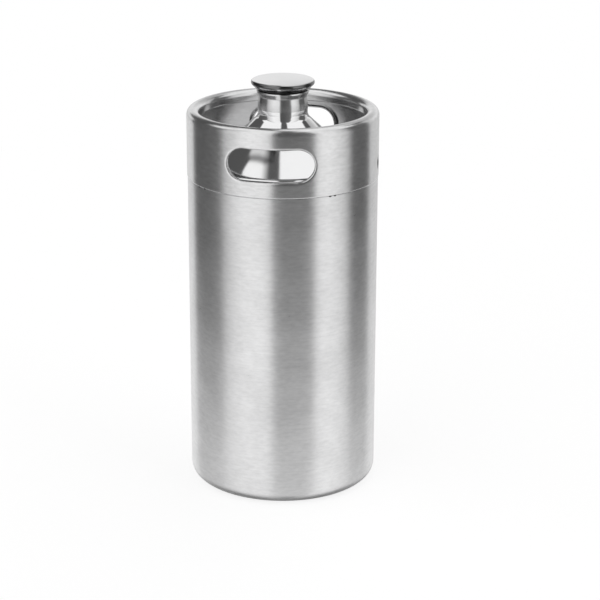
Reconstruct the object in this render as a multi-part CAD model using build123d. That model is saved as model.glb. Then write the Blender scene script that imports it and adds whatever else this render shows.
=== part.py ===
from build123d import *
import math
import os

# Steel mini keg closed by a screw cap. Millimetres, +Z up, the keg's axis on Z, the standing ring at z = 0.
# The front is -Y, and angles about the axis are counted from the front towards +X.

# ---- barrel: rolled tube ----
BARREL_DIAMETER = 135.0
BARREL_WALL = 0.8
BARREL_LENGTH = 208.8

# ---- base: pressed cup, butt-welded under the barrel ----
BASE_WALL = 1.0
BASE_SKIRT = 9.0                # straight stretch between the weld and the corner
BASE_CORNER_RADIUS = 9.0
STANDING_RING_WIDTH = 6.0
BASE_RECESS_DEPTH = 7.0
BASE_RECESS_DRAFT = 4.0         # how far the recess wall leans in over its depth
BASE_RECESS_FILLET = 3.0
BASE_CROWN_RISE = 3.0           # the recess's floor, crowned up towards its middle
BASE_CROWN_FLAT = 20.0          # radius of the crown's flat middle
BASE_CROWN_FILLET = 30.0

# ---- shoulder: pressed dome, its skirt nested in the barrel's mouth ----
SHOULDER_WALL = 1.0
SHOULDER_SKIRT = 8.0            # depth of the skirt below the barrel's mouth
SHOULDER_CORNER_RISE = 10.3     # unrounded corner above the barrel's mouth
SHOULDER_KNUCKLE = 14.0
SHOULDER_CONE_ANGLE = 43.0      # slope round the neck, from the horizontal
SHOULDER_CONE_RADIUS = 31.0     # where that slope eases towards the knuckle
SHOULDER_CONE_BLEND = 40.0
SHOULDER_HEIGHT = 48.1          # barrel's mouth to the neck's weld
NECK_STUB = 2.8                 # straight stretch under that weld
NECK_ROOT_FILLET = 6.0
NEST_GAP = 0.1                  # radial gap of the nested joint

# ---- neck: turned ring with a flared lip, butt-welded on the shoulder ----
NECK_DIAMETER = 35.2
NECK_LENGTH = 13.5
NECK_BORE = 30.4                # plain, at the root of the inside thread
NECK_BORE_CHAMFER = 0.6
THROAT_DIAMETER = 33.8          # waist drawn in under the lip
THROAT_DROP = 4.6               # waist below the sealing face
THROAT_TAPER = 4.0              # height over which the neck draws in to it
THROAT_BLEND = 3.0
THROAT_TAPER_BLEND = 6.0        # where that taper leaves the full neck
LIP_DIAMETER = 38.8             # before its edge is rounded
LIP_ROUND = 1.2

# ---- collar: rolled ring that stands on the barrel's edge ----
COLLAR_HEIGHT = 48.2
COLLAR_WALL = 1.0
COLLAR_PROUD = 0.4              # how far it stands out from the barrel
COLLAR_FOOT_ROUND = 0.7
RIM_RADIUS = 4.6                # outer radius of the rolled rim
INNER_LIP_DROP = 2.8            # straight wall that hangs from the rolled rim
HEM_RADIUS = 1.4
HEM_TURN = 1.5                  # straight end of the hem, turned back up

# ---- hand slots and drain holes of the collar ----
HAND_SLOT_WIDTH = 59.7          # clear
HAND_SLOT_HEIGHT = 22.2         # clear
HAND_SLOT_RISE = 22.6           # its middle above the barrel's mouth
HAND_SLOT_ANGLE = -7.75
HAND_SLOT_COUNT = 2
FLANGE_DEPTH = 3.5              # turned-in edge, from the collar's outside
FLANGE_WALL = 1.0
FLANGE_ROUND = 2.0              # outer radius of the turned-in edge
FLANGE_ROOT_ROUND = 0.8
DRAIN_DIAMETER = 11.0
DRAIN_RISE = 11.0
DRAIN_ROUND = 0.4

# ---- screw cap ----
GASKET_THICKNESS = 0.8
GASKET_DIAMETER = 34.4
CAP_RUNNING_GAP = 0.4           # radial, plug to gasket
PLUG_DIAMETER = 28.4            # plain, at the root of its thread
PLUG_WALL = 1.6
PLUG_LENGTH = 14.0              # below the head
PLUG_NOSE_CHAMFER = 1.0
PLUG_FLANGE_INSET = 1.5         # from the edge of the head's seat, on which the flange lies
PLUG_FLANGE_THICKNESS = 1.0
PLUG_FLANGE_ROUND = 0.3
HEAD_HEIGHT = 5.8               # above the gasket
HEAD_FLAT_DIAMETER = 41.2
HEAD_EDGE_ROUND = 1.8
HEAD_TAPER_ANGLE = 44.0         # underside, from the horizontal
HEAD_SEAT_ROUND = 1.0
HEAD_SEAT_GAP = 0.3             # radial, plug to the seat's hole
HEAD_WALL = 0.8


def slope(degrees):
    return math.tan(math.radians(degrees))


# ---- places that follow from the sizes ----
BARREL_RADIUS = BARREL_DIAMETER / 2
BARREL_FOOT = BASE_CORNER_RADIUS + BASE_SKIRT
BARREL_MOUTH = BARREL_FOOT + BARREL_LENGTH
NECK_RADIUS = NECK_DIAMETER / 2
NECK_FOOT = BARREL_MOUTH + SHOULDER_HEIGHT
SEAL_FACE = NECK_FOOT + NECK_LENGTH
COLLAR_RADIUS = BARREL_RADIUS + COLLAR_PROUD
COLLAR_TOP = BARREL_MOUTH + COLLAR_HEIGHT
PLUG_RADIUS = PLUG_DIAMETER / 2
HEAD_FOOT = SEAL_FACE + GASKET_THICKNESS
HEAD_TOP = HEAD_FOOT + HEAD_HEIGHT
HEAD_CORNER = HEAD_FLAT_DIAMETER / 2 + HEAD_EDGE_ROUND / slope(HEAD_TAPER_ANGLE / 2)
HEAD_SEAT_RADIUS = HEAD_CORNER - HEAD_HEIGHT / slope(HEAD_TAPER_ANGLE)
PLUG_FLANGE_FOOT = HEAD_FOOT + HEAD_WALL
PLUG_FLANGE_RADIUS = HEAD_SEAT_RADIUS - PLUG_FLANGE_INSET


def turned(section):
    """Solid turned about the keg's axis from a half-section drawn as (distance from the axis, height)."""
    return revolve(Plane.XZ * section, axis=Axis.Z)


def pressed(outline, wall, side):
    """Sheet-metal piece turned about the axis from its outer line, with its wall on one side of it."""
    return turned(make_face(offset(outline, wall, side=side)))


def ring(outer_radius, inner_radius, low, high):
    return Pos(0, 0, low) * extrude(Circle(outer_radius) - Circle(inner_radius), high - low)


def barrel_tube():
    return ring(BARREL_RADIUS, BARREL_RADIUS - BARREL_WALL, BARREL_FOOT, BARREL_MOUTH)


def base_pressing():
    ring_outer = BARREL_RADIUS - BASE_CORNER_RADIUS
    ring_inner = ring_outer - STANDING_RING_WIDTH
    recess_radius = ring_inner - BASE_RECESS_DRAFT
    crown = BASE_RECESS_DEPTH + BASE_CROWN_RISE
    outline = FilletPolyline(
        (BARREL_RADIUS, BARREL_FOOT),
        (BARREL_RADIUS, 0),
        (ring_inner, 0),
        (recess_radius, BASE_RECESS_DEPTH),
        (BASE_CROWN_FLAT, crown),
        (0, crown),
        radius=[BASE_CORNER_RADIUS, BASE_RECESS_FILLET, BASE_RECESS_FILLET, BASE_CROWN_FILLET],
    )
    return pressed(outline, BASE_WALL, Side.RIGHT)


def shoulder_dome():
    skirt_radius = BARREL_RADIUS - BARREL_WALL - NEST_GAP
    cone_top = NECK_FOOT - NECK_STUB - NECK_ROOT_FILLET * slope((90 - SHOULDER_CONE_ANGLE) / 2)
    cone_foot = cone_top - (SHOULDER_CONE_RADIUS - NECK_RADIUS) * slope(SHOULDER_CONE_ANGLE)
    outline = FilletPolyline(
        (skirt_radius, BARREL_MOUTH - SHOULDER_SKIRT),
        (skirt_radius, BARREL_MOUTH + SHOULDER_CORNER_RISE),
        (SHOULDER_CONE_RADIUS, cone_foot),
        (NECK_RADIUS, cone_top),
        (NECK_RADIUS, NECK_FOOT),
        radius=[SHOULDER_KNUCKLE, SHOULDER_CONE_BLEND, NECK_ROOT_FILLET],
    )
    return pressed(outline, SHOULDER_WALL, Side.LEFT)


def neck_ring():
    throat = SEAL_FACE - THROAT_DROP
    bore = NECK_BORE / 2
    outside = FilletPolyline(
        (NECK_RADIUS, NECK_FOOT),
        (NECK_RADIUS, throat - THROAT_TAPER),
        (THROAT_DIAMETER / 2, throat),
        (LIP_DIAMETER / 2, SEAL_FACE),
        (bore + NECK_BORE_CHAMFER, SEAL_FACE),
        radius=[THROAT_TAPER_BLEND, THROAT_BLEND, LIP_ROUND],
    )
    inside = Polyline(
        (bore + NECK_BORE_CHAMFER, SEAL_FACE),
        (bore, SEAL_FACE - NECK_BORE_CHAMFER),
        (bore, NECK_FOOT),
        (NECK_RADIUS, NECK_FOOT),
    )
    return turned(make_face(outside.edges() + inside.edges()))


def edges_on_cylinder(solid, radius, low, high):
    """Edges that lie all along on a cylinder about the axis, between two heights, without its own rims."""
    def lies_on(edge):
        samples = [edge.position_at(share) for share in (0, 0.3, 0.5, 0.8)]
        inside = all(low < point.Z < high for point in samples)
        on_wall = all(abs(math.hypot(point.X, point.Y) - radius) < 0.01 for point in samples)
        return inside and on_wall
    return solid.edges().filter_by(lies_on)


def facing_out(angle, height):
    """Plane on the keg's axis that looks outwards at an angle from the front, its X level."""
    turn = math.radians(angle)
    return Plane(
        origin=(0, 0, height),
        x_dir=(math.cos(turn), math.sin(turn), 0),
        z_dir=(math.sin(turn), -math.cos(turn), 0),
    )


def hand_slots(collar):
    """Cuts the hand slots, each with its edge turned in as a flange of its own wall."""
    middle = BARREL_MOUTH + HAND_SLOT_RISE
    reach = 2 * COLLAR_RADIUS
    flange_ring = ring(
        COLLAR_RADIUS - COLLAR_WALL / 2, COLLAR_RADIUS - FLANGE_DEPTH, BARREL_MOUTH, COLLAR_TOP - RIM_RADIUS
    )
    for copy in range(HAND_SLOT_COUNT):
        plane = facing_out(HAND_SLOT_ANGLE + copy * 360 / HAND_SLOT_COUNT, middle)
        around = SlotOverall(HAND_SLOT_WIDTH + 2 * FLANGE_WALL, HAND_SLOT_HEIGHT + 2 * FLANGE_WALL)
        clear = SlotOverall(HAND_SLOT_WIDTH, HAND_SLOT_HEIGHT)
        collar += flange_ring & extrude(plane * around, reach)
        collar -= extrude(plane * clear, reach)
    low, high = middle - HAND_SLOT_HEIGHT, middle + HAND_SLOT_HEIGHT
    roots = edges_on_cylinder(collar, COLLAR_RADIUS - COLLAR_WALL, low, high)
    collar = fillet(roots, FLANGE_ROOT_ROUND)
    return fillet(edges_on_cylinder(collar, COLLAR_RADIUS, low, high), FLANGE_ROUND)


def drain_holes(collar):
    """Cuts one round hole midway between each two hand slots."""
    middle = BARREL_MOUTH + DRAIN_RISE
    for copy in range(HAND_SLOT_COUNT):
        plane = facing_out(HAND_SLOT_ANGLE + (copy + 0.5) * 360 / HAND_SLOT_COUNT, middle)
        collar -= extrude(plane * Circle(DRAIN_DIAMETER / 2), 2 * COLLAR_RADIUS)
    low, high = middle - DRAIN_DIAMETER, middle + DRAIN_DIAMETER
    return fillet(edges_on_cylinder(collar, COLLAR_RADIUS, low, high), DRAIN_ROUND)


def handle_collar():
    rim_middle = COLLAR_RADIUS - RIM_RADIUS
    rim_foot = COLLAR_TOP - RIM_RADIUS
    lip_radius = rim_middle - RIM_RADIUS
    lip_foot = rim_foot - INNER_LIP_DROP
    hem_middle = lip_radius + HEM_RADIUS
    hem_outer = hem_middle + HEM_RADIUS
    outline = Wire([
        Line((COLLAR_RADIUS, BARREL_MOUTH), (COLLAR_RADIUS, rim_foot)),
        ThreePointArc((COLLAR_RADIUS, rim_foot), (rim_middle, COLLAR_TOP), (lip_radius, rim_foot)),
        Line((lip_radius, rim_foot), (lip_radius, lip_foot)),
        ThreePointArc((lip_radius, lip_foot), (hem_middle, lip_foot - HEM_RADIUS), (hem_outer, lip_foot)),
        Line((hem_outer, lip_foot), (hem_outer, lip_foot + HEM_TURN)),
    ])
    collar = pressed(outline, COLLAR_WALL, Side.LEFT)
    foot_edge = collar.edges().filter_by(GeomType.CIRCLE).sort_by(Axis.Z)[:2].sort_by(SortBy.RADIUS)[-1]
    collar = fillet(foot_edge, COLLAR_FOOT_ROUND)
    return drain_holes(hand_slots(collar))


def cap_gasket():
    return ring(GASKET_DIAMETER / 2, PLUG_RADIUS + CAP_RUNNING_GAP, SEAL_FACE, HEAD_FOOT)


def cap_plug():
    flange = Pos(0, 0, PLUG_FLANGE_FOOT) * extrude(Circle(PLUG_FLANGE_RADIUS), PLUG_FLANGE_THICKNESS)
    flange = fillet(flange.edges().filter_by(GeomType.CIRCLE), PLUG_FLANGE_ROUND)
    nose = HEAD_FOOT - PLUG_LENGTH
    tube = ring(PLUG_RADIUS, PLUG_RADIUS - PLUG_WALL, nose, PLUG_FLANGE_FOOT + PLUG_FLANGE_THICKNESS / 2)
    nose_edge = tube.edges().filter_by(GeomType.CIRCLE).sort_by(Axis.Z)[:2].sort_by(SortBy.RADIUS)[-1]
    return flange + chamfer(nose_edge, PLUG_NOSE_CHAMFER)


def cap_shell():
    outline = FilletPolyline(
        (0, HEAD_TOP),
        (HEAD_CORNER, HEAD_TOP),
        (HEAD_SEAT_RADIUS, HEAD_FOOT),
        (PLUG_RADIUS + HEAD_SEAT_GAP, HEAD_FOOT),
        radius=[HEAD_EDGE_ROUND, HEAD_SEAT_ROUND],
    )
    return pressed(outline, HEAD_WALL, Side.RIGHT)


PIECES = {
    "barrel_tube": barrel_tube,
    "base_pressing": base_pressing,
    "shoulder_dome": shoulder_dome,
    "neck_ring": neck_ring,
    "handle_collar": handle_collar,
    "cap_gasket": cap_gasket,
    "cap_plug": cap_plug,
    "cap_shell": cap_shell,
}

os.makedirs("parts", exist_ok=True)
for name, make in PIECES.items():
    export_step(make(), f"parts/{name}.step")
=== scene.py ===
import math

import bmesh
import bpy
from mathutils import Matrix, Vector


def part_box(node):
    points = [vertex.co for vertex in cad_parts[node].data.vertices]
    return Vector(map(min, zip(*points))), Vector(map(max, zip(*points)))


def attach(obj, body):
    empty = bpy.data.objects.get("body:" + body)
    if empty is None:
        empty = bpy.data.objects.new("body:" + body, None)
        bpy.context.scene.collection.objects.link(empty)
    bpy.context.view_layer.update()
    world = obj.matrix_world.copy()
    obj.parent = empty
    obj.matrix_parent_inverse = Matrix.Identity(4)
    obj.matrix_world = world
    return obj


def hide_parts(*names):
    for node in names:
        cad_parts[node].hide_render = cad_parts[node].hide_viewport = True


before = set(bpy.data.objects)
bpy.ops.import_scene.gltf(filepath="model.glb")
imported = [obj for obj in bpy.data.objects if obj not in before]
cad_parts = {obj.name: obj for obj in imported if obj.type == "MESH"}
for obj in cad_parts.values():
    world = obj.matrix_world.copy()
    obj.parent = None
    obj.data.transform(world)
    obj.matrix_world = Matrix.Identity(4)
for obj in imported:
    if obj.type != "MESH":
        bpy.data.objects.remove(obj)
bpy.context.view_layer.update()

# ---- barrel ----
# Stainless tube, rolled from sheet and welded along its length, the weld ground flush. Belt-brushed
# round and round after welding, which leaves fine level scratches and a soft, blurred shine.
MM = 0.001
RING_COLUMNS = 360                    # faces round the keg
CORNER_STEP = math.radians(7.5)       # turn of one step of a rounded corner
CREASE_ANGLE = math.radians(32)       # sharper edges keep their crease
SAME_PLACE = 0.0001 * MM              # points this close are one
MERGE_DISTANCE = 0.001 * MM
LEAST_RUN_OUT = 1e-6                  # a shorter run-out is none

BARREL_WALL = 0.8 * MM
BARREL_EDGE_ROUND = 0.5 * MM

# How far the steel is worn is a sum of noises. Their scales are in cells to the metre.
BRUSH_STROKES = (190, 190, 480)
PATCHES = 34
SCRATCH_SHARE = 0.1
WORN_RANGE = (-0.1, 0.25)             # between these the tone goes from its lowest to its highest
UNWORN_ROUGHNESS = 0.95               # share of the roughness that wear doesn't change
STEEL_BLUE = 1.004                    # steel's blue against its red and green


def rounded(corners, radii, turn=CORNER_STEP):
    """Line through corners, each (distance from the axis, height), the inner ones rounded to the radii."""
    points = [Vector(corner) for corner in corners]
    line = [points[0]]
    for before, corner, after, radius in zip(points, points[1:], points[2:], radii):
        back, on = (before - corner).normalized(), (after - corner).normalized()
        half = back.angle(on) / 2
        middle = corner + (back + on).normalized() * radius / math.sin(half)
        start, end = (corner + side * radius / math.tan(half) - middle for side in (back, on))
        sweep = math.pi - 2 * half
        steps = max(2, math.ceil(sweep / turn))
        for step in range(steps + 1):
            gone = sweep * step / steps
            line.append(middle + (start * math.sin(sweep - gone) + end * math.sin(gone)) / math.sin(sweep))
    line.append(points[-1])
    return line[:1] + [here for before, here in zip(line, line[1:]) if (here - before).length > SAME_PLACE]


def walled(line, wall):
    """Section of a sheet: the line, then back along its other face. The wall lies to the left of the line."""
    back = []
    for before, point, after in zip(line[:1] + line, line, line[1:] + line[-1:]):
        ways = [(b - a).normalized() for a, b in ((before, point), (point, after)) if (b - a).length > 0]
        lefts = [Vector((-way.y, way.x)) for way in ways]
        left = sum(lefts, Vector((0, 0))).normalized()
        back.append(point + left * wall / left.dot(lefts[0]))
    return line + back[::-1]


def add(tree, kind, inputs=(), **settings):
    """Adds a node, sets it up, and feeds its inputs with links or plain values."""
    made = tree.nodes.new(kind)
    for name, value in settings.items():
        setattr(made, name, value)
    for name, value in dict(inputs).items():
        if isinstance(value, bpy.types.NodeSocket):
            tree.links.new(value, made.inputs[name])
        else:
            made.inputs[name].default_value = value
    return made


def maths(tree, operation, *values):
    return add(tree, "ShaderNodeMath", enumerate(values), operation=operation).outputs[0]


def ranged(tree, value, start, end, low=0.0, high=1.0, kind="LINEAR"):
    """Goes from low to high as the value goes from start to end, and stays there beyond them."""
    limits = {"Value": value, "From Min": start, "From Max": end, "To Min": low, "To Max": high}
    return add(tree, "ShaderNodeMapRange", limits, interpolation_type=kind).outputs[0]


def scaled(tree, vector, factors):
    return add(tree, "ShaderNodeVectorMath", {0: vector, 1: factors}, operation="MULTIPLY").outputs[0]


def noise(tree, place, scale, detail, roughness=0.5):
    settings = {"Vector": place, "Scale": scale, "Detail": detail, "Roughness": roughness}
    return add(tree, "ShaderNodeTexNoise", settings).outputs[0]


def height_of(tree, place):
    return add(tree, "ShaderNodeSeparateXYZ", {0: place}).outputs[2]


def start_tree(name, kinds):
    """New tree that makes a piece from inputs, each given as (name, kind). Returns it and its inputs."""
    tree = bpy.data.node_groups.new(name, "GeometryNodeTree")
    for socket_name, kind in kinds:
        tree.interface.new_socket(socket_name, in_out="INPUT", socket_type="NodeSocket" + kind)
    tree.interface.new_socket("Piece", in_out="OUTPUT", socket_type="NodeSocketGeometry")
    return tree, add(tree, "NodeGroupInput").outputs


def end_tree(tree, geometry, finish):
    """Ends a tree: what it made becomes a plain smooth mesh and gets its material."""
    real = add(tree, "GeometryNodeRealizeInstances", {"Geometry": geometry}).outputs[0]
    smooth = add(tree, "GeometryNodeSetShadeSmooth", {"Geometry": real}).outputs[0]
    finished = add(tree, "GeometryNodeSetMaterial", {"Geometry": smooth, "Material": finish}).outputs[0]
    add(tree, "NodeGroupOutput", {0: finished})


def turning_tree():
    """Turns a half-section about the keg's axis, counted from the front towards +X: a closed ring, or, with a
    lead and a run-out, a helical ridge that shrinks into its root at both ends."""
    sizes = ("Start Angle", "Turns", "Lead", "Foot Height", "Root Radius", "Run Out")
    kinds = [("Section", "Geometry"), ("Columns", "Int")] + [(size, "Float") for size in sizes]
    tree, given = start_tree("turning", kinds + [("Finish", "Material")])
    section = given["Section"]
    counted = add(tree, "GeometryNodeAttributeDomainSize", {"Geometry": section}, component="MESH")
    rows = counted.outputs["Point Count"]
    corners = {"Vertices X": maths(tree, "ADD", given["Columns"], 1), "Vertices Y": rows}
    grid = add(tree, "GeometryNodeMeshGrid", corners).outputs["Mesh"]
    index = add(tree, "GeometryNodeInputIndex").outputs[0]
    row = maths(tree, "MODULO", index, rows)
    column = maths(tree, "FLOOR", maths(tree, "DIVIDE", index, rows))
    share = maths(tree, "DIVIDE", column, given["Columns"])
    place = add(tree, "GeometryNodeInputPosition").outputs[0]
    drawn = add(tree, "GeometryNodeSampleIndex", {"Geometry": section, "Value": place, "Index": row},
                data_type="FLOAT_VECTOR").outputs[0]
    distance, _, height = add(tree, "ShaderNodeSeparateXYZ", {0: drawn}).outputs

    to_end = maths(tree, "MINIMUM", share, maths(tree, "SUBTRACT", 1, share))
    run_out = maths(tree, "MAXIMUM", given["Run Out"], LEAST_RUN_OUT)
    has_none = maths(tree, "LESS_THAN", given["Run Out"], LEAST_RUN_OUT)
    risen = maths(tree, "MINIMUM", maths(tree, "DIVIDE", to_end, run_out), 1)
    fade = maths(tree, "MAXIMUM", risen, has_none)
    ridge = maths(tree, "MULTIPLY", maths(tree, "SUBTRACT", distance, given["Root Radius"]), fade)
    reach = maths(tree, "ADD", given["Root Radius"], ridge)
    turns = maths(tree, "MULTIPLY", share, given["Turns"])
    climb = maths(tree, "MULTIPLY_ADD", turns, given["Lead"], given["Foot Height"])
    angle = maths(tree, "MULTIPLY_ADD", turns, math.tau, given["Start Angle"])
    to_right = maths(tree, "MULTIPLY", reach, maths(tree, "SINE", angle))
    to_back = maths(tree, "MULTIPLY", reach, maths(tree, "MULTIPLY", maths(tree, "COSINE", angle), -1))
    up = maths(tree, "MULTIPLY_ADD", height, fade, climb)
    turned_place = add(tree, "ShaderNodeCombineXYZ", {0: to_right, 1: to_back, 2: up}).outputs[0]

    moved = add(tree, "GeometryNodeSetPosition", {"Geometry": grid, "Position": turned_place}).outputs[0]
    seam = {"Geometry": moved, "Distance": MERGE_DISTANCE}
    end_tree(tree, add(tree, "GeometryNodeMergeByDistance", seam).outputs[0], given["Finish"])
    return tree


def grown(name, tree, seed, edges, values):
    """Evaluates a tree on a small mesh of points and edges, and returns the plain mesh object it makes."""
    mesh = bpy.data.meshes.new(name)
    mesh.from_pydata(seed, edges, [])
    piece = bpy.data.objects.new(name, mesh)
    bpy.context.scene.collection.objects.link(piece)
    modifier = piece.modifiers.new("growth", "NODES")
    modifier.node_group = tree
    for socket in tree.interface.items_tree:
        if socket.in_out == "INPUT" and socket.name in values:
            modifier[socket.identifier] = values[socket.name]
    evaluated = piece.evaluated_get(bpy.context.evaluated_depsgraph_get())
    grown_mesh = bpy.data.meshes.new_from_object(evaluated)
    piece.modifiers.clear()
    piece.data = grown_mesh
    bpy.data.meshes.remove(mesh)
    grown_mesh.name = name
    grown_mesh.set_sharp_from_angle(angle=CREASE_ANGLE)
    return piece


def turned(name, section, finish, columns=RING_COLUMNS, **values):
    """Mesh object of a half-section, a list of (distance from the axis, height), turned about the axis."""
    seed = [(distance, 0, height) for distance, height in section]
    edges = [(step, step + 1) for step in range(len(seed) - 1)]
    sizes = {"Columns": columns, "Turns": 1.0, "Finish": finish}
    sizes.update({key.replace("_", " ").title(): value for key, value in values.items()})
    return grown(name, turning, seed, edges, sizes)


def fitted(piece, body, slot, *nodes):
    """Puts a piece on the body that it rides on and hides the frame's nodes it stands for. The slot is not
    used.
    """
    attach(piece, body)
    if nodes:
        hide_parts(*nodes)
    return piece


def steel(name, tone, roughness, anisotropy, scratches, scratch_depth, mottle, spread=0.06, rake=0.0,
          rake_foot=0.0, shade=None, polish=None):
    """Stainless steel with fine scratches that run level round the axis, and the cloudiness of rolled sheet,
    which moves the tone by the spread. Above the rake's foot, the scratches' faces look up by the rake.
    Shade is a function that paints light and shade into the tone from place to place, and polish one that
    changes the roughness."""
    material = bpy.data.materials.new(name)
    material.use_nodes = True
    tree = material.node_tree
    shader = tree.nodes["Principled BSDF"]
    shader.inputs["Metallic"].default_value = 1.0
    shader.inputs["Anisotropic"].default_value = anisotropy
    shader.inputs["Anisotropic Rotation"].default_value = 0.25
    place = add(tree, "ShaderNodeTexCoord").outputs["Object"]
    lines = noise(tree, scaled(tree, place, scratches), 1, 5, 0.65)
    clouds = noise(tree, scaled(tree, place, BRUSH_STROKES), 1, 4, 0.6)
    patches = noise(tree, place, PATCHES, 3)
    uneven = maths(tree, "MULTIPLY_ADD", clouds, mottle, maths(tree, "MULTIPLY", patches, mottle))
    worn = maths(tree, "MULTIPLY_ADD", lines, SCRATCH_SHARE, maths(tree, "SUBTRACT", uneven, mottle))

    grey = ranged(tree, worn, *WORN_RANGE, tone - spread, tone + spread)
    if shade:
        grey = shade(tree, place, grey)
    blue = maths(tree, "MULTIPLY", grey, STEEL_BLUE)
    colour = add(tree, "ShaderNodeCombineColor", {0: grey, 1: grey, 2: blue}).outputs[0]
    tree.links.new(colour, shader.inputs["Base Color"])

    rough = maths(tree, "MULTIPLY_ADD", worn, roughness, roughness * UNWORN_ROUGHNESS)
    if polish:
        rough = polish(tree, place, rough)
    tree.links.new(rough, shader.inputs["Roughness"])

    above = maths(tree, "MAXIMUM", maths(tree, "SUBTRACT", height_of(tree, place), rake_foot), 0)
    raked = maths(tree, "MULTIPLY", above, -math.tan(rake))
    relief = maths(tree, "MULTIPLY_ADD", lines, scratch_depth, raked)
    bump = add(tree, "ShaderNodeBump", {"Height": relief, "Strength": 1.0, "Distance": 1.0}).outputs[0]
    tree.links.new(bump, shader.inputs["Normal"])
    if anisotropy:
        round_axis = add(tree, "ShaderNodeTangent", direction_type="RADIAL", axis="Z").outputs[0]
        tree.links.new(round_axis, shader.inputs["Tangent"])
    return material


turning = turning_tree()
belt_brushed = steel("belt_brushed_steel", tone=0.82, roughness=0.3, anisotropy=0.55,
                     scratches=(9, 9, 1200), scratch_depth=0.006 * MM, mottle=0.22, spread=0.22)

barrel_low, barrel_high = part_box("barrel_tube")
barrel_radius = barrel_high.x
barrel_line = rounded(
    [
        (barrel_radius, barrel_low.z),
        (barrel_radius, barrel_high.z),
        (barrel_radius - BARREL_WALL, barrel_high.z),
    ],
    [BARREL_EDGE_ROUND],
)
barrel_section = barrel_line + [Vector((barrel_radius - BARREL_WALL, barrel_low.z)), barrel_line[0]]
barrel = turned("barrel", barrel_section, belt_brushed)
fitted(barrel, "keg", "brushed_steel", "barrel_tube")

# ---- base ----
# A cup pressed from one disc: a soft corner, a flat ring to stand on, and a recess with a crowned floor
# that stiffens it. Butt-welded under the barrel, the weld ground flush and brushed over.
BASE_WALL = 1.0 * MM
BASE_CORNER_RADIUS = 9.0 * MM
STANDING_RING_WIDTH = 6.0 * MM
BASE_RECESS_DEPTH = 7.0 * MM
BASE_RECESS_DRAFT = 4.0 * MM
BASE_RECESS_FILLET = 3.0 * MM
BASE_CROWN_RISE = 3.0 * MM
BASE_CROWN_FLAT = 20.0 * MM
BASE_CROWN_FILLET = 30.0 * MM

base_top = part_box("base_pressing")[1].z
ring_inner = barrel_radius - BASE_CORNER_RADIUS - STANDING_RING_WIDTH
crown = BASE_RECESS_DEPTH + BASE_CROWN_RISE
base_line = rounded(
    [
        (0, crown),
        (BASE_CROWN_FLAT, crown),
        (ring_inner - BASE_RECESS_DRAFT, BASE_RECESS_DEPTH),
        (ring_inner, 0),
        (barrel_radius, 0),
        (barrel_radius, base_top),
    ],
    [BASE_CROWN_FILLET, BASE_RECESS_FILLET, BASE_RECESS_FILLET, BASE_CORNER_RADIUS],
)
base = turned("base", walled(base_line, BASE_WALL), belt_brushed)
fitted(base, "keg", "brushed_steel", "base_pressing")

# ---- shoulder ----
# A dome deep-drawn from one disc and buffed bright: a skirt that nests in the barrel's mouth, a round
# knuckle, a slightly crowned slope, and a throat drawn up to the neck. Welded to the barrel under the collar.
SHOULDER_WALL = 1.0 * MM
NEST_GAP = 0.1 * MM
SHOULDER_CORNER_RISE = 10.3 * MM
SHOULDER_KNUCKLE = 9.0 * MM
SHOULDER_CONE_ANGLE = math.radians(43)
SHOULDER_CONE_RADIUS = 31.0 * MM
SHOULDER_CONE_BLEND = 40.0 * MM
SHOULDER_CROWN = 0.95 * MM            # how far the slope's middle corner stands out before it is blended
SHOULDER_CROWN_BLEND = 240.0 * MM
SHOULDER_STEP = math.radians(1.5)
NECK_STUB = 2.8 * MM
NECK_ROOT_FILLET = 6.0 * MM
NECK_RADIUS = 17.6 * MM
RAKE = math.radians(8.5)              # the polished scratches' faces look up by this
RAKE_DROP = 2.0 * MM                  # the rake starts this far below the stub

skirt_low, shoulder_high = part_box("shoulder_dome")
neck_foot = shoulder_high.z
skirt_radius = barrel_radius - BARREL_WALL - NEST_GAP
root_drop = NECK_ROOT_FILLET * math.tan(math.pi / 4 - SHOULDER_CONE_ANGLE / 2)
cone_top = neck_foot - NECK_STUB - root_drop
cone_foot = cone_top - (SHOULDER_CONE_RADIUS - NECK_RADIUS) * math.tan(SHOULDER_CONE_ANGLE)
knuckle = Vector((skirt_radius, barrel_high.z + SHOULDER_CORNER_RISE))
slope_top = Vector((SHOULDER_CONE_RADIUS, cone_foot))
slope_way = (slope_top - knuckle).normalized()
slope_middle = (knuckle + slope_top) / 2 + Vector((slope_way.y, -slope_way.x)) * SHOULDER_CROWN
shoulder_line = rounded(
    [
        (skirt_radius, skirt_low.z),
        knuckle,
        slope_middle,
        slope_top,
        (NECK_RADIUS, cone_top),
        (NECK_RADIUS, neck_foot),
    ],
    [SHOULDER_KNUCKLE, SHOULDER_CROWN_BLEND, SHOULDER_CONE_BLEND, NECK_ROOT_FILLET],
    turn=SHOULDER_STEP,
)
buffed = steel("buffed_steel", tone=0.88, roughness=0.075, anisotropy=0.2,
               scratches=(30, 30, 900), scratch_depth=0.0014 * MM, mottle=0.08,
               rake=RAKE, rake_foot=neck_foot - NECK_STUB - RAKE_DROP)
shoulder_section = walled(shoulder_line, SHOULDER_WALL)
shoulder = turned("shoulder", shoulder_section + shoulder_section[:1], buffed)
fitted(shoulder, "keg", "polished_steel", "shoulder_dome")

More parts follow.
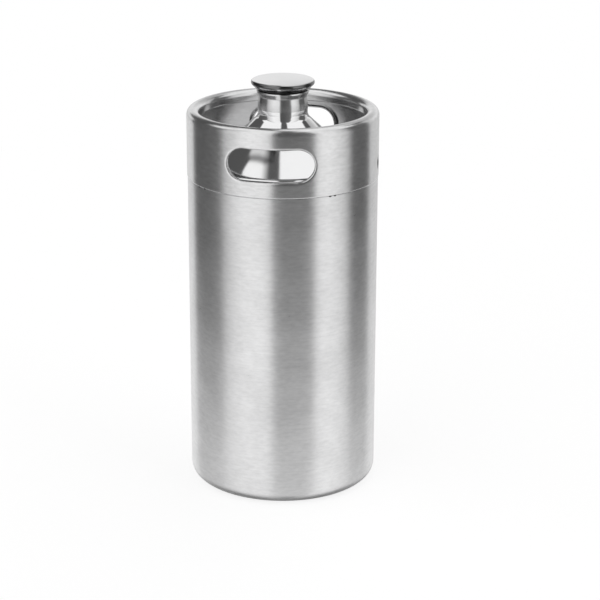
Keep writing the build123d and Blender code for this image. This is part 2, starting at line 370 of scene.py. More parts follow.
# ---- neck ----
# A thick ring turned from bar and polished: a waist, a flared lip with a flat sealing face, and a coarse
# right-hand thread cut inside. Butt-welded on the shoulder's throat.
NECK_COLUMNS = 240
NECK_BORE_RADIUS = 15.2 * MM
NECK_BORE_CHAMFER = 0.6 * MM
THROAT_RADIUS = 16.9 * MM
THROAT_DROP = 4.6 * MM
THROAT_TAPER = 4.0 * MM
THROAT_BLEND = 3.0 * MM
THROAT_TAPER_BLEND = 6.0 * MM
LIP_RADIUS = 19.4 * MM
LIP_ROUND = 1.2 * MM
THREAD_LEAD = 4.0 * MM
THREAD_DEPTH = 0.8 * MM
THREAD_ROOT_WIDTH = 1.7 * MM
THREAD_CREST_WIDTH = 0.7 * MM
THREAD_SEAT = 0.05 * MM
THREAD_RUN_OUT = 0.08                 # share of the thread's length
NECK_THREAD_TURNS = 2.5
NECK_THREAD_RISE = 1.6 * MM
EDGE_FACINGS = (0.35, 0.6)            # the painted shade comes in between these, from face-on to edge-on
# share of the tone at the edges: painted shade
EDGE_SHADE_TONE = 0.5


def painted_edge_shade(tree, place, grey):
    """Painted shade: turned steel is painted darker where it turns away from the eye."""
    facing = add(tree, "ShaderNodeLayerWeight", {"Blend": 0.5}).outputs["Facing"]
    return maths(tree, "MULTIPLY", grey, ranged(tree, facing, *EDGE_FACINGS, 1.0, EDGE_SHADE_TONE, "SMOOTHSTEP"))


def thread_section(root_radius, depth):
    """Closed section of a thread's ridge, drawn anticlockwise. A negative depth points to the axis."""
    side = math.copysign(1, depth)
    root, crest = root_radius - side * THREAD_SEAT, root_radius + depth
    loop = [
        (root, -side * THREAD_ROOT_WIDTH / 2),
        (crest, -side * THREAD_CREST_WIDTH / 2),
        (crest, side * THREAD_CREST_WIDTH / 2),
        (root, side * THREAD_ROOT_WIDTH / 2),
    ]
    return loop + loop[:1]


# Its tone carries painted shade where the steel turns away from the eye.
satin_turned = steel("satin_turned_steel", tone=0.8, roughness=0.22, anisotropy=0.8,
                     scratches=(20, 20, 4200), scratch_depth=0.0014 * MM, mottle=0.05,
                     rake=RAKE, shade=painted_edge_shade)

seal_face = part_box("neck_ring")[1].z
throat = seal_face - THROAT_DROP
neck_section = rounded(
    [
        (NECK_RADIUS, neck_foot),
        (NECK_RADIUS, throat - THROAT_TAPER),
        (THROAT_RADIUS, throat),
        (LIP_RADIUS, seal_face),
        (NECK_BORE_RADIUS + NECK_BORE_CHAMFER, seal_face),
    ],
    [THROAT_TAPER_BLEND, THROAT_BLEND, LIP_ROUND],
)
neck_section += [
    Vector((NECK_BORE_RADIUS, seal_face - NECK_BORE_CHAMFER)),
    Vector((NECK_BORE_RADIUS, neck_foot)),
    neck_section[0],
]
neck = turned("neck", neck_section, satin_turned, columns=NECK_COLUMNS)
fitted(neck, "keg", "polished_steel", "neck_ring")
neck_thread = turned(
    "neck_thread",
    thread_section(NECK_BORE_RADIUS, -THREAD_DEPTH),
    satin_turned,
    columns=NECK_COLUMNS,
    turns=NECK_THREAD_TURNS,
    lead=THREAD_LEAD,
    foot_height=neck_foot + NECK_THREAD_RISE,
    root_radius=NECK_BORE_RADIUS,
    run_out=THREAD_RUN_OUT,
)
fitted(neck_thread, "keg", "polished_steel")

# ---- collar ----
# The carrying collar: a ring rolled from sheet, its top curled inwards over a hanging lip with a hemmed edge.
# Two hand slots are cut opposite each other and their edges pressed in as flanges, with a drain hole between
# them on each side. It stands on the barrel's edge, brushed like it but finer.
COLLAR_WALL = 1.0 * MM
COLLAR_FOOT_ROUND = 0.9 * MM
RIM_RADIUS = 4.6 * MM
INNER_LIP_DROP = 2.8 * MM
HEM_RADIUS = 1.4 * MM
HEM_TURN = 1.5 * MM
HAND_SLOT_HALF_WIDTH = 29.85 * MM
HAND_SLOT_HALF_HEIGHT = 11.1 * MM
HAND_SLOT_RISE = 22.6 * MM
HAND_SLOT_DEGREES = -7.75
HAND_SLOT_COUNT = 2
FLANGE_DEPTH = 3.5 * MM
FLANGE_ROUND = 2.0 * MM
FLANGE_ROOT_ROUND = 0.8 * MM
FLANGE_EDGE_ROUND = 0.2 * MM
DRAIN_RADIUS = 5.5 * MM
DRAIN_RISE = 11.0 * MM
DRAIN_ROUND = 0.4 * MM
FOOT_BAND = 1.0 * MM                  # the foot's plain band, under the patches that make the wall
SLOT_PATCH_COLUMNS = 76               # columns of the wall are one degree wide
DRAIN_PATCH_COLUMNS = 28
WALL_ROWS = 32
SPREAD_STEPS = 9                      # rings of faces between a patch's border and its hole
SPREAD_POWER = 1.2                    # above 1, the rings crowd together towards the hole
QUARTER_STEPS = 10                    # steps of a quarter turn in a hole's edge
SEAM_TOLERANCE = 0.003 * MM
RIM_POLISH = 0.9                      # roughness of the rim and the lip as a share of the wall's
# share of the tone on the collar's inside: painted shade
INSIDE_SHADE_TONE = 0.75
INSIDE_DEPTHS = (0.8 * COLLAR_WALL, 0.5 * COLLAR_WALL)   # the painted shade on the inside comes in between these depths, from the outside

collar_low, collar_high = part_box("handle_collar")
collar_radius = collar_high.x
collar_foot, collar_top = collar_low.z, collar_high.z
rim_foot = collar_top - RIM_RADIUS
wall_foot = collar_foot + FOOT_BAND
lip_radius = collar_radius - 2 * RIM_RADIUS


def length(tree, vector):
    return add(tree, "ShaderNodeVectorMath", {0: vector}, operation="LENGTH").outputs["Value"]


def from_axis(tree, place):
    return length(tree, scaled(tree, place, (1, 1, 0)))


def painted_inside_shade(tree, place, grey):
    """Painted shade: below the rim, the collar's inside is painted darker than its outside."""
    under = ranged(tree, height_of(tree, place), rim_foot + MM, rim_foot)
    limits = [collar_radius - depth for depth in INSIDE_DEPTHS]
    inside = maths(tree, "MULTIPLY", grey, ranged(tree, from_axis(tree, place), *limits, INSIDE_SHADE_TONE, 1.0))
    return add(tree, "ShaderNodeMix", {0: under, 2: grey, 3: inside}, data_type="FLOAT").outputs[0]


def rim_polish(tree, place, rough):
    """The rolled rim and the lip with its hem are a little smoother than the wall."""
    hem_reach = lip_radius + 3 * HEM_RADIUS
    above = ranged(tree, height_of(tree, place), rim_foot, rim_foot + MM)
    within = ranged(tree, from_axis(tree, place), hem_reach, hem_reach - MM)
    smoother = maths(tree, "MAXIMUM", above, within)
    return maths(tree, "MULTIPLY", rough, maths(tree, "MULTIPLY_ADD", smoother, RIM_POLISH - 1, 1))


# Its tone carries painted shade on the collar's inside, below the rim.
fine_brushed = steel("fine_brushed_steel", tone=0.81, roughness=0.25, anisotropy=0.55,
                     scratches=(9, 9, 1200), scratch_depth=0.004 * MM, mottle=0.2, spread=0.2,
                     shade=painted_inside_shade, polish=rim_polish)


def arc(middle, radius, start, end):
    """Points on an arc in the half-section, between two angles in radians from the outward direction."""
    steps = math.ceil(abs(end - start) / CORNER_STEP)
    angles = [start + (end - start) * step / steps for step in range(steps + 1)]
    return [Vector((middle[0] + radius * math.cos(a), middle[1] + radius * math.sin(a))) for a in angles]


def collar_column(degrees):
    """Angle of one of the collar's columns, counted in degrees from the middle of the front slot."""
    return math.radians(HAND_SLOT_DEGREES + degrees)


def spot(distance, angle, height):
    return (distance * math.sin(angle), -distance * math.cos(angle), height)


def wall_height(row):
    return wall_foot + (rim_foot - wall_foot) * row / WALL_ROWS


def plain_patch(start, columns):
    """Both faces of a stretch of the collar's wall without a hole, as two grids of points."""
    heights = [wall_height(row) for row in range(WALL_ROWS + 1)]
    faces = (
        (collar_radius, range(columns + 1)),
        (collar_radius - COLLAR_WALL, range(columns, -1, -1)),
    )
    return [
        [[spot(distance, collar_column(start + column), height) for height in heights] for column in order]
        for distance, order in faces
    ]


def holed_patch(middle, columns, half_width, half_height, rise, lines):
    """A stretch of the collar's wall round a hole with round ends, as one grid: from the patch's border on
    the outside to the hole, through it along lines of (offset from its edge, depth), and back inside."""
    centre = collar_foot + rise
    reach = half_width - half_height
    half = columns // 2
    border = [(column, wall_foot) for column in range(-half, half)]
    border += [(half, wall_height(row)) for row in range(WALL_ROWS)]
    border += [(column, rim_foot) for column in range(half, -half, -1)]
    border += [(-half, wall_height(WALL_ROWS - row)) for row in range(WALL_ROWS)]
    loops = []
    for column, height in border + border[:1]:
        loop = []
        for distance, order in ((collar_radius, 1), (collar_radius - COLLAR_WALL, -1)):
            across = distance * math.sin(math.radians(column))
            foot = Vector((max(-reach, min(reach, across)), 0))
            way = Vector((across, height - centre)) - foot
            edge = half_height + lines[0 if order > 0 else -1][0]
            steps = []
            for step in range(SPREAD_STEPS):
                left = (1 - step / SPREAD_STEPS) ** SPREAD_POWER
                steps.append((edge + (way.length - edge) * left, distance))
            if order > 0:
                steps += [(half_height + offset, collar_radius - depth) for offset, depth in lines]
            for gone, out in steps[::order]:
                place = foot + way.normalized() * gone
                angle = collar_column(middle) + math.asin(place.x / out)
                loop.append(spot(out, angle, centre + place.y))
        loops.append(loop)
    return [loops]


def grids_mesh(name, grids, finish):
    """One mesh object of grids of points, still apart where they meet."""
    points, faces = [], []
    for grid in grids:
        start, rows = len(points), len(grid[0])
        points += [point for column in grid for point in column]
        for column in range(len(grid) - 1):
            for row in range(rows - 1):
                corner = start + column * rows + row
                faces.append((corner, corner + rows, corner + rows + 1, corner + 1))
    mesh = bpy.data.meshes.new(name)
    mesh.from_pydata(points, [], faces)
    mesh.materials.append(finish)
    piece = bpy.data.objects.new(name, mesh)
    bpy.context.scene.collection.objects.link(piece)
    return piece


def joined(name, pieces, finish):
    """One smooth mesh object made of several pieces, their shared borders merged."""
    shape = bmesh.new()
    for piece in pieces:
        shape.from_mesh(piece.data)
        bpy.data.objects.remove(piece)
    bmesh.ops.remove_doubles(shape, verts=shape.verts, dist=SEAM_TOLERANCE)
    mesh = bpy.data.meshes.new(name)
    shape.to_mesh(mesh)
    shape.free()
    mesh.materials.append(finish)
    mesh.shade_smooth()
    mesh.set_sharp_from_angle(angle=CREASE_ANGLE)
    whole = bpy.data.objects.new(name, mesh)
    bpy.context.scene.collection.objects.link(whole)
    return whole


def edge_round(radius, steps):
    """Lines of a rounded outer edge, from the collar's outside into the hole."""
    return [(radius * (1 - math.sin(a)), radius * (1 - math.cos(a))) for a in steps]


quarter = [math.pi / 2 * step / QUARTER_STEPS for step in range(QUARTER_STEPS + 1)]
root_middle = COLLAR_WALL + FLANGE_ROOT_ROUND
flange_lines = edge_round(FLANGE_ROUND, quarter)
flange_lines += [(0, FLANGE_DEPTH - FLANGE_EDGE_ROUND), (FLANGE_EDGE_ROUND, FLANGE_DEPTH)]
flange_lines += [
    (COLLAR_WALL - FLANGE_EDGE_ROUND, FLANGE_DEPTH),
    (COLLAR_WALL, FLANGE_DEPTH - FLANGE_EDGE_ROUND),
]
flange_lines += [
    (root_middle - FLANGE_ROOT_ROUND * math.cos(a), root_middle - FLANGE_ROOT_ROUND * math.sin(a))
    for a in quarter
]
drain_lines = edge_round(DRAIN_ROUND, quarter[::2]) + [(0, COLLAR_WALL)]

collar_grids = []
pitch = 360 // HAND_SLOT_COUNT
plain_columns = (pitch - SLOT_PATCH_COLUMNS - DRAIN_PATCH_COLUMNS) // 2
slot_sizes = (SLOT_PATCH_COLUMNS, HAND_SLOT_HALF_WIDTH, HAND_SLOT_HALF_HEIGHT, HAND_SLOT_RISE, flange_lines)
drain_sizes = (DRAIN_PATCH_COLUMNS, DRAIN_RADIUS, DRAIN_RADIUS, DRAIN_RISE, drain_lines)
for copy in range(HAND_SLOT_COUNT):
    middle = copy * pitch
    collar_grids += holed_patch(middle, *slot_sizes)
    collar_grids += plain_patch(middle + SLOT_PATCH_COLUMNS // 2, plain_columns)
    collar_grids += holed_patch(middle + pitch // 2, *drain_sizes)
    collar_grids += plain_patch(middle + pitch - SLOT_PATCH_COLUMNS // 2 - plain_columns, plain_columns)
collar_wall = grids_mesh("collar_wall", collar_grids, fine_brushed)

foot_section = [Vector((collar_radius - COLLAR_WALL, wall_foot))] + rounded(
    [
        (collar_radius - COLLAR_WALL, collar_foot),
        (collar_radius, collar_foot),
        (collar_radius, wall_foot),
    ],
    [COLLAR_FOOT_ROUND],
)
rim_middle = (collar_radius - RIM_RADIUS, rim_foot)
lip_foot = rim_foot - INNER_LIP_DROP
rim_line = arc(rim_middle, RIM_RADIUS, 0, math.pi)
rim_line += arc((lip_radius + HEM_RADIUS, lip_foot), HEM_RADIUS, math.pi, math.tau)
rim_line += [Vector((lip_radius + 2 * HEM_RADIUS, lip_foot + HEM_TURN))]
start_angle = collar_column(0)
collar_foot_ring = turned("collar_foot", foot_section, fine_brushed, start_angle=start_angle)
collar_rim = turned("collar_rim", walled(rim_line, COLLAR_WALL), fine_brushed, start_angle=start_angle)
collar = joined("collar", [collar_wall, collar_foot_ring, collar_rim], fine_brushed)
fitted(collar, "keg", "brushed_steel", "handle_collar")

# ---- weld spots ----
# Short welds in pairs hold the collar's foot to the barrel's mouth. Ground down, they stay as small dots of
# heat-darkened steel across the seam.
WELD_PAIRS = ((30.3, 3.3), (-56.1, 6.2), (121.5, 4.4), (-147.0, 5.0))   # middle and spacing, in degrees
WELD_SIZE = (0.85 * MM, 0.3 * MM, 0.6 * MM)
WELD_SPREAD = 0.25                    # largest part by which a dot's size differs
WELD_SEED = 3


def weld_tree():
    """Sets a small flattened bead on every point, turned to face away from the keg's axis."""
    kinds = (("Places", "Geometry"), ("Size", "Vector"), ("Spread", "Float"), ("Finish", "Material"))
    tree, given = start_tree("welding", kinds)
    bead = add(tree, "GeometryNodeMeshIcoSphere", {"Radius": 1.0, "Subdivisions": 3}).outputs[0]
    place = add(tree, "GeometryNodeInputPosition").outputs[0]
    to_right, to_back, _ = add(tree, "ShaderNodeSeparateXYZ", {0: place}).outputs
    angle = maths(tree, "ARCTAN2", to_right, maths(tree, "MULTIPLY", to_back, -1))
    turn = add(tree, "ShaderNodeCombineXYZ", {2: angle}).outputs[0]
    drawing = add(tree, "FunctionNodeRandomValue", {"Seed": WELD_SEED}, data_type="FLOAT")
    limits = {
        "Min": maths(tree, "SUBTRACT", 1, given["Spread"]),
        "Max": maths(tree, "ADD", 1, given["Spread"]),
    }
    for socket in drawing.inputs:
        if socket.type == "VALUE" and socket.name in limits:
            tree.links.new(limits[socket.name], socket)
    drawn = next(socket for socket in drawing.outputs if socket.type == "VALUE")
    size = add(tree, "ShaderNodeVectorMath", {0: given["Size"], 3: drawn}, operation="SCALE").outputs[0]
    setting = {"Points": given["Places"], "Instance": bead, "Rotation": turn, "Scale": size}
    end_tree(tree, add(tree, "GeometryNodeInstanceOnPoints", setting).outputs[0], given["Finish"])
    return tree


weld_tint = steel("weld_tinted_steel", tone=0.12, roughness=0.45, anisotropy=0.0,
                  scratches=(900, 900, 900), scratch_depth=0.007 * MM, mottle=0.3)
weld_places = [
    spot(barrel_radius, math.radians(middle + side * spacing / 2), collar_foot)
    for middle, spacing in WELD_PAIRS for side in (-1, 1)
]
weld_spots = grown("weld_spots", weld_tree(), weld_places, [],
                   {"Size": WELD_SIZE, "Spread": WELD_SPREAD, "Finish": weld_tint})
fitted(weld_spots, "keg", "brushed_steel")

# ---- gasket ----
# A flat ring of black silicone, stamped from sheet, with soft edges. It is stretched over the cap's plug and
# squeezed between the neck's lip and the head's seat.
GASKET_BORE_RADIUS = 14.6 * MM
GASKET_EDGE_ROUND = 0.2 * MM
GRAIN_SCALE = 2400
DUST_SCALE = 260
DUST_RANGE = (0.3, 0.7)
SILICONE_GREYS = (0.022, 0.04)
SILICONE_ROUGHNESS = 0.45
GRAIN_ROUGHNESS = 0.2                 # added where the grain is highest
GRAIN_DEPTH = 0.02 * MM
GRAIN_STRENGTH = 0.3


def silicone():
    """Black silicone with a dry, slightly grainy skin."""
    material = bpy.data.materials.new("black_silicone")
    material.use_nodes = True
    tree = material.node_tree
    shader = tree.nodes["Principled BSDF"]
    place = add(tree, "ShaderNodeTexCoord").outputs["Object"]
    grain = noise(tree, place, GRAIN_SCALE, 3)
    grey = ranged(tree, noise(tree, place, DUST_SCALE, 4), *DUST_RANGE, *SILICONE_GREYS)
    colour = add(tree, "ShaderNodeCombineColor", {0: grey, 1: grey, 2: grey}).outputs[0]
    tree.links.new(colour, shader.inputs["Base Color"])
    rough = maths(tree, "MULTIPLY_ADD", grain, GRAIN_ROUGHNESS, SILICONE_ROUGHNESS)
    tree.links.new(rough, shader.inputs["Roughness"])
    skin = {"Height": grain, "Strength": GRAIN_STRENGTH, "Distance": GRAIN_DEPTH}
    tree.links.new(add(tree, "ShaderNodeBump", skin).outputs[0], shader.inputs["Normal"])
    return material


gasket_low, gasket_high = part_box("cap_gasket")
gasket_radius = gasket_high.x
gasket_middle = (gasket_low.z + gasket_high.z) / 2
gasket_corners = [
    (gasket_radius, gasket_middle),
    (gasket_radius, gasket_high.z),
    (GASKET_BORE_RADIUS, gasket_high.z),
    (GASKET_BORE_RADIUS, gasket_low.z),
    (gasket_radius, gasket_low.z),
    (gasket_radius, gasket_middle),
]
gasket_section = rounded(gasket_corners, [GASKET_EDGE_ROUND] * 4)
gasket = turned("gasket", gasket_section, silicone(), columns=NECK_COLUMNS)
fitted(gasket, "seal", "seal_rubber", "cap_gasket")

# ---- plug ----
# The cap's hollow screw, turned from bar: a coarse right-hand thread on a short tube, closed by a flange that
# lies inside the head, welded to its seat.
PLUG_RADIUS = 14.2 * MM
PLUG_WALL = 1.6 * MM
PLUG_NOSE_CHAMFER = 1.0 * MM
PLUG_FLANGE_THICKNESS = 1.0 * MM
PLUG_FLANGE_ROUND = 0.3 * MM
PLUG_THREAD_TURNS = 2.5

plug_low, plug_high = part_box("cap_plug")
flange_radius = plug_high.x
flange_foot = plug_high.z - PLUG_FLANGE_THICKNESS
plug_section = [
    Vector((0, flange_foot)),
    Vector((PLUG_RADIUS - PLUG_WALL, flange_foot)),
    Vector((PLUG_RADIUS - PLUG_WALL, plug_low.z)),
    Vector((PLUG_RADIUS - PLUG_NOSE_CHAMFER, plug_low.z)),
    Vector((PLUG_RADIUS, plug_low.z + PLUG_NOSE_CHAMFER)),
] + rounded(
    [
        (PLUG_RADIUS, flange_foot),
        (flange_radius, flange_foot),
        (flange_radius, plug_high.z),
        (0, plug_high.z),
    ],
    [PLUG_FLANGE_ROUND] * 2,
)
plug = turned("plug", plug_section, satin_turned, columns=NECK_COLUMNS)
fitted(plug, "cap", "polished_steel", "cap_plug")
plug_thread = turned(
    "plug_thread",
    thread_section(PLUG_RADIUS, THREAD_DEPTH),
    satin_turned,
    columns=NECK_COLUMNS,
    turns=PLUG_THREAD_TURNS,
    lead=THREAD_LEAD,
    foot_height=neck_foot + NECK_THREAD_RISE + THREAD_LEAD / 2,
    root_radius=PLUG_RADIUS,
    run_out=THREAD_RUN_OUT,
)
fitted(plug_thread, "cap", "polished_steel")

# ---- head ----
# The cap's mushroom head, spun from sheet: a flat top, a rolled edge, a coned underside to grip, and a seat
# that presses on the gasket. Finished on a lathe, so its scratches run in circles.
HEAD_WALL = 0.8 * MM
HEAD_FLAT_RADIUS = 20.6 * MM
HEAD_EDGE_ROUND = 1.8 * MM
HEAD_TAPER_ANGLE = math.radians(44)
HEAD_SEAT_ROUND = 1.0 * MM
HEAD_SEAT_GAP = 0.3 * MM
HEAD_LIGHT_ZONES = (                        # (height above the seat, share of the tone): painted shade in the hollows, painted highlights on the edges
    (0.0, 0.1),
    (1.6 * MM, 0.12),
    (2.1 * MM, 1.0),
    (2.9 * MM, 1.1),
    (3.3 * MM, 0.25),
    (5.4 * MM, 0.2),
    (5.6 * MM, 1.25),
)
HEAD_TOP_HIGHLIGHT = 1.1                   # the last zone's share, at the top: a painted highlight

head_low, head_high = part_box("cap_shell")
head_corner = HEAD_FLAT_RADIUS + HEAD_EDGE_ROUND / math.tan(HEAD_TAPER_ANGLE / 2)
seat = head_corner - (head_high.z - head_low.z) / math.tan(HEAD_TAPER_ANGLE)
head_line = rounded(
    [
        (PLUG_RADIUS + HEAD_SEAT_GAP, head_low.z),
        (seat, head_low.z),
        (head_corner, head_high.z),
        (0, head_high.z),
    ],
    [HEAD_SEAT_ROUND, HEAD_EDGE_ROUND],
)


def banded(tree, share, bands, start, end):
    """Colour ramp through bands, each a (place, level), its places counted from start to end."""
    ramp_node = add(tree, "ShaderNodeValToRGB", {0: share})
    ramp = ramp_node.color_ramp
    while len(ramp.elements) < len(bands):
        ramp.elements.new(0.5)
    for element, (place, level) in zip(ramp.elements, bands):
        element.position = (place - start) / (end - start)
        element.color = (level, level, level, 1)
    return ramp_node.outputs[0]


def painted_light_zones(tree, place, grey):
    """Painted light: each height of the head has its own tone, with painted shade in the hollows, painted
    highlights on the edges and a brighter painted top.
    """
    low, high = head_low.z, head_high.z
    zones = [(low + rise, share) for rise, share in HEAD_LIGHT_ZONES] + [(high, HEAD_TOP_HIGHLIGHT)]
    height = ranged(tree, height_of(tree, place), low, high)
    return maths(tree, "MULTIPLY", grey, banded(tree, height, zones, low, high))


# Its tone carries painted shade and painted highlights, zone by zone up the head.
lathe_polished = steel("lathe_polished_steel", tone=0.8, roughness=0.13, anisotropy=0.5,
                       scratches=(20, 20, 4200), scratch_depth=0.0014 * MM, mottle=0.05, shade=painted_light_zones)
head = turned("head", walled(head_line, HEAD_WALL), lathe_polished, columns=NECK_COLUMNS)
fitted(head, "cap", "brushed_steel", "cap_shell")

# ---- floor ----
# A round pale table top, matt and glowing a little, so that it is about as bright as the studio beyond it. It
# takes the keg's shadow, and steel that looks down on it sees it fade out with distance, with a painted
# shadow close round the keg.
FLOOR_RADIUS = 1.0
FLOOR_CORNERS = 96
FLOOR_DROP = 0.1 * MM
FLOOR_GLOW = 0.82
FLOOR_TONE = 0.3
FLOOR_IN_STEEL = 0.7                  # how solid the floor looks in steel, close by
FLOOR_NARROWING = (1.5, 1, 1)         # in steel it fades out sooner to the sides than to front and back
PAINTED_CONTACT_SHADOW = (0.064, 0.075)        # in steel its glow comes in between these distances: a painted contact shadow round the keg


def pale_table():
    """A matt pale top that glows a little, and shows in steel as a patch that fades out with distance, with a
    painted contact shadow where its glow is left out close to the keg.
    """
    material = bpy.data.materials.new("pale_table")
    material.use_nodes = True
    tree = material.node_tree
    tree.nodes.clear()
    place = add(tree, "ShaderNodeTexCoord").outputs["Object"]
    glow = add(tree, "ShaderNodeEmission", {"Color": (1, 1, 1, 1), "Strength": FLOOR_GLOW}).outputs[0]
    matt = add(tree, "ShaderNodeBsdfDiffuse", {"Color": (FLOOR_TONE, FLOOR_TONE, FLOOR_TONE, 1)}).outputs[0]
    lit = add(tree, "ShaderNodeAddShader", {0: glow, 1: matt}).outputs[0]
    # Painted contact shadow: close to the keg, steel sees the floor without its glow.
    clear_of_painted_shadow = ranged(tree, length(tree, place), *PAINTED_CONTACT_SHADOW, kind="SMOOTHSTEP")
    shaded = add(tree, "ShaderNodeMixShader", {0: clear_of_painted_shadow, 1: matt, 2: lit}).outputs[0]
    distance = length(tree, scaled(tree, place, FLOOR_NARROWING))
    solid = ranged(tree, distance, 0.0, FLOOR_RADIUS, FLOOR_IN_STEEL, 0.0)
    clear = add(tree, "ShaderNodeBsdfTransparent").outputs[0]
    faded = add(tree, "ShaderNodeMixShader", {0: solid, 1: clear, 2: shaded}).outputs[0]
    in_steel = add(tree, "ShaderNodeLightPath").outputs["Is Glossy Ray"]
    shown = add(tree, "ShaderNodeMixShader", {0: in_steel, 1: lit, 2: faded}).outputs[0]
    add(tree, "ShaderNodeOutputMaterial", {"Surface": shown})
    material.cycles.emission_sampling = "NONE"
    return material


floor_angles = [math.tau * corner / FLOOR_CORNERS for corner in range(FLOOR_CORNERS)]
floor_edge = [(FLOOR_RADIUS * math.cos(a), FLOOR_RADIUS * math.sin(a), -FLOOR_DROP) for a in floor_angles]
floor_mesh = bpy.data.meshes.new("floor")
floor_mesh.from_pydata(floor_edge, [], [range(FLOOR_CORNERS)])
floor_mesh.materials.append(pale_table())
floor = bpy.data.objects.new("floor", floor_mesh)
bpy.context.scene.collection.objects.link(floor)

# ---- studio ----
# A white studio with dark flags to the front, the left and the right, which steel shows as upright bands.
# Behind the keg the walls change with height. Overhead hang soft lights between dark strips, with dark flags
# towards the back. The camera itself sees only white.
WALL_LEVEL = 0.65

# A band is (place, level). Those of the walls are placed by degrees from the front towards +X. All else is
# placed by one part of the way that is looked, to the right, to the back or up, each from -1 to 1.
WALL_BANDS = (
    (-137, WALL_LEVEL), (-131, 0.1), (-100, 0.11), (-84, 0.13), (-78.5, 0.18), (-74.5, 0.55), (-60, 0.82),
    (-45, 1.0), (-15, 0.95), (-11, 0.09), (5, 0.09), (30, 0.14), (37, 0.18), (41, 0.95), (60, 1.0),
    (72, 0.9), (86, 0.68), (91, 0.5), (95.5, 0.11), (128, 0.12), (134, WALL_LEVEL),
)
RIGHT_WALL_START = math.radians(50)
RIGHT_WALL_LEAN = math.radians(11)    # the right wall's bands turn by this much to the front, going up ...
RIGHT_WALL_HEIGHTS = (-0.39, -0.1)    # ... between these heights
BEHIND_START = math.radians(134)      # past this on either side, the walls go by height
BEHIND_LEFT = ((-0.25, 0.8), (-0.05, 0.65), (0.15, 0.85), (0.3, 0.85), (0.45, 0.2))
BEHIND_RIGHT = ((-0.09, WALL_LEVEL), (0.15, 0.9), (0.3, 0.7), (0.45, 0.5))
BEHIND_SEAM = (-0.02, 0.02)
STRIP_FRONT = ((-0.08, 1.0), (-0.05, 0.1), (0.15, 0.1), (0.18, 1.0))
STRIP_BACK = ((-0.2, 1.0), (-0.13, 0.1), (-0.04, 0.1), (-0.025, 1.0))
STRIP_SEAM = (0.0, 0.1)
FLAG_LEVEL = 0.09
FLAGS_EDGE = (0.28, 0.34)             # the flags overhead start here, towards the back
LEFT_SIDE = -0.08                     # left of this hang the slanted lamps
LAMPS_SLANT = 0.8                     # a step to the right counts as this much to the back
LAMPS = ((0.15, 1.0), (0.18, 0.3), (0.2, 0.17), (0.22, 0.3), (0.245, 0.75), (0.27, 0.75), (0.31, 0.14))
LAMPS_EDGE = (-0.56, -0.53)           # the lamps' left end, which leans to the right towards the back ...
LAMPS_LEAN = -0.56
LAMPS_LEAN_END = 0.42                 # ... as far as this
RIGHT_FLAG_EDGE = (0.45, 0.55)        # right of this hang the flags again
BACK_EDGE = (0.5, 0.62)               # left of it the light only falls off, here ...
BACK_LEVEL = 0.5                      # ... to this
OVERHEAD_EDGE = (0.86, 0.95)          # the walls end and the overhead part starts here in front ...
OVERHEAD_REACH = 0.36                 # ... and lower by this much behind ...
OVERHEAD_SEAM = (-0.25, -0.1)         # ... past here
LEFT_FLAG_EDGE = -0.345               # a flag behind on the far left, from its foot upwards
LEFT_FLAG_FOOT = (0.2, 0.3)
WHITE = (1, 1, 1, 1)


def blended(tree, share, first, second):
    """Mix of two colours by a share. Each is a socket or a plain colour."""
    return add(tree, "ShaderNodeMix", {0: share, 6: first, 7: second}, data_type="RGBA").outputs[2]


def eased(tree, value, limits):
    return ranged(tree, value, *limits, kind="SMOOTHSTEP")


def falling(tree, value, limits, level):
    """Falls from 1 to a level between the limits."""
    return maths(tree, "MULTIPLY_ADD", eased(tree, value, limits), level - 1, 1)


def by_part(tree, part, bands):
    """Bands placed by a part of the way that is looked."""
    return banded(tree, maths(tree, "MULTIPLY_ADD", part, 0.5, 0.5), bands, -1, 1)


def studio_walls(sky, to_right, to_back, up):
    angle = maths(sky, "ARCTAN2", to_right, maths(sky, "MULTIPLY", to_back, -1))
    on_right = maths(sky, "GREATER_THAN", angle, RIGHT_WALL_START)
    turn = ranged(sky, up, *RIGHT_WALL_HEIGHTS, 0.0, RIGHT_WALL_LEAN)
    leaning = maths(sky, "ADD", angle, maths(sky, "MULTIPLY", turn, on_right))
    walls = banded(sky, maths(sky, "MULTIPLY_ADD", leaning, 1 / math.tau, 0.5), WALL_BANDS, -180, 180)
    behind_left, behind_right = by_part(sky, up, BEHIND_LEFT), by_part(sky, up, BEHIND_RIGHT)
    behind = blended(sky, eased(sky, to_right, BEHIND_SEAM), behind_left, behind_right)
    is_behind = maths(sky, "GREATER_THAN", maths(sky, "ABSOLUTE", angle), BEHIND_START)
    return blended(sky, is_behind, walls, behind)


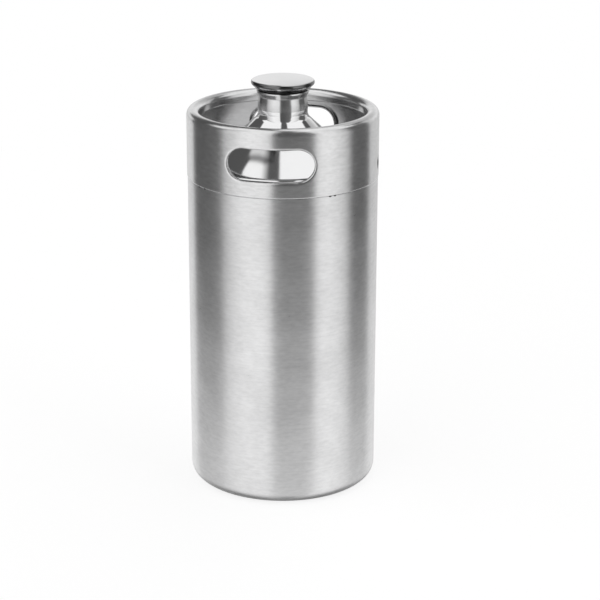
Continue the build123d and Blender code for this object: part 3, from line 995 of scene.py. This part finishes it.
def studio_lights(sky, to_right, to_back):
    strip_front, strip_back = by_part(sky, to_right, STRIP_FRONT), by_part(sky, to_right, STRIP_BACK)
    strips = blended(sky, eased(sky, to_back, STRIP_SEAM), strip_front, strip_back)
    flags = falling(sky, to_back, FLAGS_EDGE, FLAG_LEVEL)
    lamps = by_part(sky, maths(sky, "MULTIPLY_ADD", to_right, LAMPS_SLANT, to_back), LAMPS)
    gone_back = maths(sky, "MINIMUM", to_back, LAMPS_LEAN_END)
    from_end = eased(sky, maths(sky, "MULTIPLY_ADD", gone_back, LAMPS_LEAN, to_right), LAMPS_EDGE)
    left_side = maths(sky, "MAXIMUM", flags, maths(sky, "MULTIPLY", lamps, from_end))
    far_back = falling(sky, to_back, BACK_EDGE, BACK_LEVEL)
    right_side = blended(sky, eased(sky, to_right, RIGHT_FLAG_EDGE), far_back, flags)
    sides = blended(sky, maths(sky, "LESS_THAN", to_right, LEFT_SIDE), right_side, left_side)
    both = {0: 1.0, 6: strips, 7: sides}
    return add(sky, "ShaderNodeMix", both, data_type="RGBA", blend_type="MULTIPLY").outputs[2]


world = bpy.data.worlds.new("studio")
bpy.context.scene.world = world
world.use_nodes = True
sky = world.node_tree
sky.nodes.clear()
way = add(sky, "ShaderNodeTexCoord").outputs["Generated"]
to_right, to_back, up = add(sky, "ShaderNodeSeparateXYZ", {0: way}).outputs
overhead = studio_lights(sky, to_right, to_back)
reach = maths(sky, "MULTIPLY_ADD", eased(sky, to_back, OVERHEAD_SEAM), OVERHEAD_REACH, up)
studio = blended(sky, eased(sky, reach, OVERHEAD_EDGE), studio_walls(sky, to_right, to_back, up), overhead)
far_left = maths(sky, "LESS_THAN", to_right, LEFT_FLAG_EDGE)
high_left = maths(sky, "MULTIPLY", far_left, eased(sky, up, LEFT_FLAG_FOOT))
left_flag = maths(sky, "MULTIPLY", high_left, eased(sky, to_back, FLAGS_EDGE))
flagged = blended(sky, left_flag, studio, (FLAG_LEVEL, FLAG_LEVEL, FLAG_LEVEL, 1))
shown = blended(sky, add(sky, "ShaderNodeLightPath").outputs["Is Camera Ray"], flagged, WHITE)
light = add(sky, "ShaderNodeBackground", {"Color": shown, "Strength": 1.0}).outputs[0]
add(sky, "ShaderNodeOutputWorld", {"Surface": light})

# ---- camera ----
# A long lens looking down on the cap from in front, at the photograph's height and distance. The picture is
# shifted, so that the keg stands left of its middle.
CAMERA_DISTANCE = 1.37167
CAMERA_HEIGHT = 0.59853
CAMERA_PITCH = math.radians(18.79)
CAMERA_LENS = 119.81
CAMERA_SENSOR = 36
CAMERA_SHIFT = 0.0286

camera_data = bpy.data.cameras.new("camera")
camera_data.lens = CAMERA_LENS
camera_data.sensor_width = CAMERA_SENSOR
camera_data.shift_x = CAMERA_SHIFT
camera = bpy.data.objects.new("camera", camera_data)
camera.location = (0, -CAMERA_DISTANCE, CAMERA_HEIGHT)
camera.rotation_euler = (math.pi / 2 - CAMERA_PITCH, 0, 0)
bpy.context.scene.collection.objects.link(camera)
bpy.context.scene.camera = camera
bpy.context.scene.view_settings.view_transform = "Standard"
